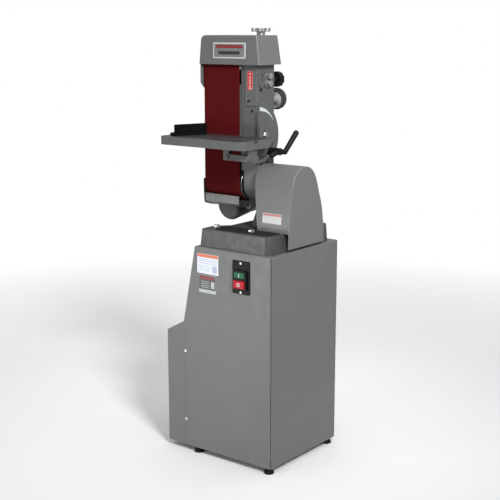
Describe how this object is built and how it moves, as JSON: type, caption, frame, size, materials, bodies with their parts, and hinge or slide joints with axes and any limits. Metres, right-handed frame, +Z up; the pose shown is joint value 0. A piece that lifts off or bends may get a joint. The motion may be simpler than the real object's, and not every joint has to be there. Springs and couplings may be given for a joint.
{
  "type": "pedestal belt sander",
  "caption": "Floor-standing belt sander: a wide upright abrasive belt on a tilting head with a small work table and miter gauge, over a cabinet holding the motor.",
  "frame": {"origin": "on the floor, under the middle of the bounding box", "axes": "+X to the operator's right along the drum axes, +Y away from the operator, +Z up"},
  "size_m": [0.46, 0.408, 1.458],
  "materials": {
    "grey_paint": "satin machine grey",
    "grey_casting": "satin paint over a casting",
    "zinc": "zinc plate",
    "black_plastic": "moulded black",
    "start_green": "gloss",
    "stop_red": "gloss",
    "label_print": "printed film",
    "black_rubber": "ribbed",
    "steel": "machined",
    "aluminium": "cast and turned",
    "black_steel": "black oxide",
    "abrasive": "coated abrasive cloth",
    "graphite": "graphite canvas",
    "scale_plate": "light etched scale",
    "bare_sheet": "bare sheet",
    "dark_duct": "dark grey",
    "iron": "machined casting",
    "black_casting": "black paint",
    "motor_paint": "motor enamel"
  },
  "bodies": {
    "stand": {"cabinet": "grey_paint", "back_panel": "grey_paint", "motor_cover": "grey_paint", "sheet_screws": "zinc", "leveling_feet": "black_plastic", "switch_plate": "black_plastic", "switch_box": "black_plastic", "switch_screws": "zinc", "cabinet_labels": "label_print", "cord_gland": "black_plastic", "base_casting": "grey_paint", "base_bolts": "zinc", "base_mat": "black_rubber", "arbor_pedestal": "grey_casting", "pedestal_bolts": "zinc", "arbor_bearings": "steel", "v_belt": "black_rubber", "belt_guard": "grey_paint", "motor_frame": "motor_paint", "motor_shelf": "grey_paint"},
    "start_button": {"start_button": "start_green"},
    "stop_button": {"stop_button": "stop_red"},
    "arbor": {"arbor_shaft": "steel", "drive_drum": "aluminium", "drum_tire": "black_rubber", "arbor_nut": "zinc", "arbor_pulley": "aluminium"},
    "motor_rotor": {"motor_rotor": "steel", "motor_pulley": "aluminium"},
    "head": {"head_column": "grey_casting", "front_plate": "grey_paint", "front_plate_screws": "black_steel", "head_labels": "label_print", "abrasive_belt": "abrasive", "platen": "grey_casting", "platen_bolts": "zinc", "platen_pad": "graphite", "top_cover": "grey_paint", "idler_guard": "grey_paint", "trunnion_plate": "grey_casting", "trunnion_bolts": "black_steel", "guide_stud": "steel", "tilt_scale": "scale_plate", "adjuster_boss": "grey_casting", "adjuster_bolts": "zinc", "dust_hood": "bare_sheet", "dust_duct": "dark_duct"},
    "carriage": {"idler_carriage": "iron"},
    "steering_axle": {"idler_axle": "iron"},
    "idler": {"idler_drum": "aluminium"},
    "tension_knob": {"tension_knob": "aluminium"},
    "lock_knob": {"lock_knob": "black_plastic"},
    "tracking_handwheel": {"tracking_handwheel": "black_plastic"},
    "table": {"table": "grey_casting", "table_arm": "grey_casting", "tilt_bracket": "grey_casting"},
    "clamp_lever": {"clamp_lever": "black_plastic"},
    "miter_bar": {"miter_bar": "steel"},
    "miter_head": {"miter_head": "black_casting"},
    "miter_knob": {"miter_knob": "black_plastic"}
  },
  "joints": [
    {"name": "start_press", "type": "slide", "parent": "stand", "child": "start_button", "axis": [0, 1, 0], "range_m": [0, 0.003], "stiffness_N_per_m": 500, "springref_m": -0.002},
    {"name": "stop_press", "type": "slide", "parent": "stand", "child": "stop_button", "axis": [0, 1, 0], "range_m": [0, 0.004], "stiffness_N_per_m": 500, "springref_m": -0.002},
    {"name": "arbor_spin", "type": "hinge", "parent": "stand", "child": "arbor", "pos_m": [0, 0.0287, 0.938], "axis": [1, 0, 0], "continuous": true},
    {"name": "motor_spin", "type": "hinge", "parent": "stand", "child": "motor_rotor", "pos_m": [0, 0.0287, 0.27], "axis": [1, 0, 0], "continuous": true},
    {"name": "head_tilt", "type": "hinge", "parent": "stand", "child": "head", "pos_m": [0, 0.0287, 0.938], "axis": [-1, 0, 0], "range_deg": [0, 90]},
    {"name": "carriage_slide", "type": "slide", "parent": "head", "child": "carriage", "axis": [0, 0, 1], "range_m": [-0.012, 0]},
    {"name": "tension_turn", "type": "hinge", "parent": "head", "child": "tension_knob", "pos_m": [0.03, 0.018, 1.44], "axis": [0, 0, 1], "range_deg": [-2880, 0]},
    {"name": "axle_steer", "type": "hinge", "parent": "carriage", "child": "steering_axle", "pos_m": [0.008, 0.0159, 1.36539], "axis": [0, 0, 1], "range_deg": [-0.4, 0.4]},
    {"name": "tracking_turn", "type": "hinge", "parent": "head", "child": "tracking_handwheel", "pos_m": [0.034, 0.09, 1.222], "axis": [0, 1, 0], "range_deg": [-90, 90]},
    {"name": "idler_spin", "type": "hinge", "parent": "steering_axle", "child": "idler", "pos_m": [0, 0.0159, 1.36539], "axis": [1, 0, 0], "continuous": true},
    {"name": "lock_turn", "type": "hinge", "parent": "head", "child": "lock_knob", "pos_m": [0.036, 0.09, 1.288], "axis": [0, 1, 0], "range_deg": [0, 360]},
    {"name": "table_tilt", "type": "hinge", "parent": "head", "child": "table", "pos_m": [0, -0.0363, 1.103], "axis": [1, 0, 0], "range_deg": [-20, 40]},
    {"name": "clamp_swing", "type": "hinge", "parent": "head", "child": "clamp_lever", "pos_m": [0.09, 0.0127, 1.054], "axis": [1, 0, 0], "range_deg": [-45, 25]},
    {"name": "miter_slide", "type": "slide", "parent": "table", "child": "miter_bar", "axis": [1, 0, 0], "range_m": [0, 0.15]},
    {"name": "miter_swivel", "type": "hinge", "parent": "miter_bar", "child": "miter_head", "pos_m": [-0.186, -0.135, 1.103], "axis": [0, 0, 1], "range_deg": [-40, 80]},
    {"name": "miter_knob_turn", "type": "hinge", "parent": "miter_bar", "child": "miter_knob", "pos_m": [-0.186, -0.135, 1.12], "axis": [0, 0, 1], "range_deg": [0, 360]}
  ],
  "couplings": [
    {"joint": "motor_spin", "follows": "arbor_spin", "ratio": 0.4864},
    {"joint": "idler_spin", "follows": "arbor_spin", "ratio": 1.2481},
    {"joint": "tension_turn", "follows": "carriage_slide", "rad_per_m": 4188.3},
    {"joint": "tracking_turn", "follows": "axle_steer", "ratio": 224.9}
  ]
}
